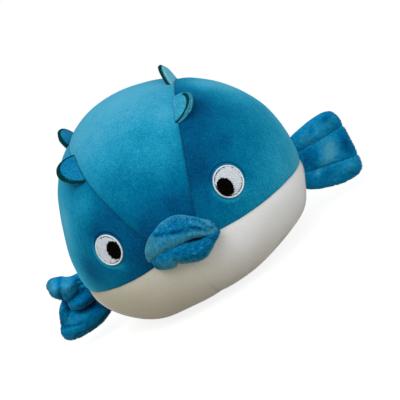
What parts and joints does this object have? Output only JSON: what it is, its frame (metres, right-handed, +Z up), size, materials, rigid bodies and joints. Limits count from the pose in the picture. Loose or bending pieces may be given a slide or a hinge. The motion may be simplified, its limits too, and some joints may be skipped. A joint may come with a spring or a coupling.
{
  "type": "plush puffer fish",
  "caption": "Round stuffed puffer fish toy with a blue velour back, white belly, padded lips, side and tail fins, flap spikes and embroidered eyes.",
  "frame": {"origin": "middle of the bounding box's base, on the surface that the toy rests on", "axes": "+Z up, the face looks along -Y, +X towards the fish's own left side fin"},
  "size_m": [0.2727, 0.2294, 0.16],
  "materials": {
    "crown_plush": "short velour pile, matt with a soft sheen",
    "side_plush": "short velour pile, matt with a soft sheen",
    "fin_plush": "longer minky pile, matt with a soft sheen",
    "belly_plush": "short off-white velour pile, matt",
    "white_thread": "satin embroidery thread",
    "black_thread": "satin embroidery thread",
    "polyester_filling": "loose polyester fibre"
  },
  "bodies": {
    "root": {"top_panel": "crown_plush", "left_panel": "side_plush", "right_panel": "side_plush", "belly_left": "belly_plush", "belly_right": "belly_plush", "stuffing": "polyester_filling", "upper_lip": "fin_plush", "lower_lip": "fin_plush", "left_fin": "fin_plush", "right_fin": "fin_plush", "tail_fin": "fin_plush", "front_left_spike": "side_plush", "front_right_spike": "side_plush", "rear_left_spike": "side_plush", "rear_right_spike": "side_plush", "left_eye_white": "white_thread", "right_eye_white": "white_thread", "left_pupil": "black_thread", "right_pupil": "black_thread"}
  },
  "joints": []
}
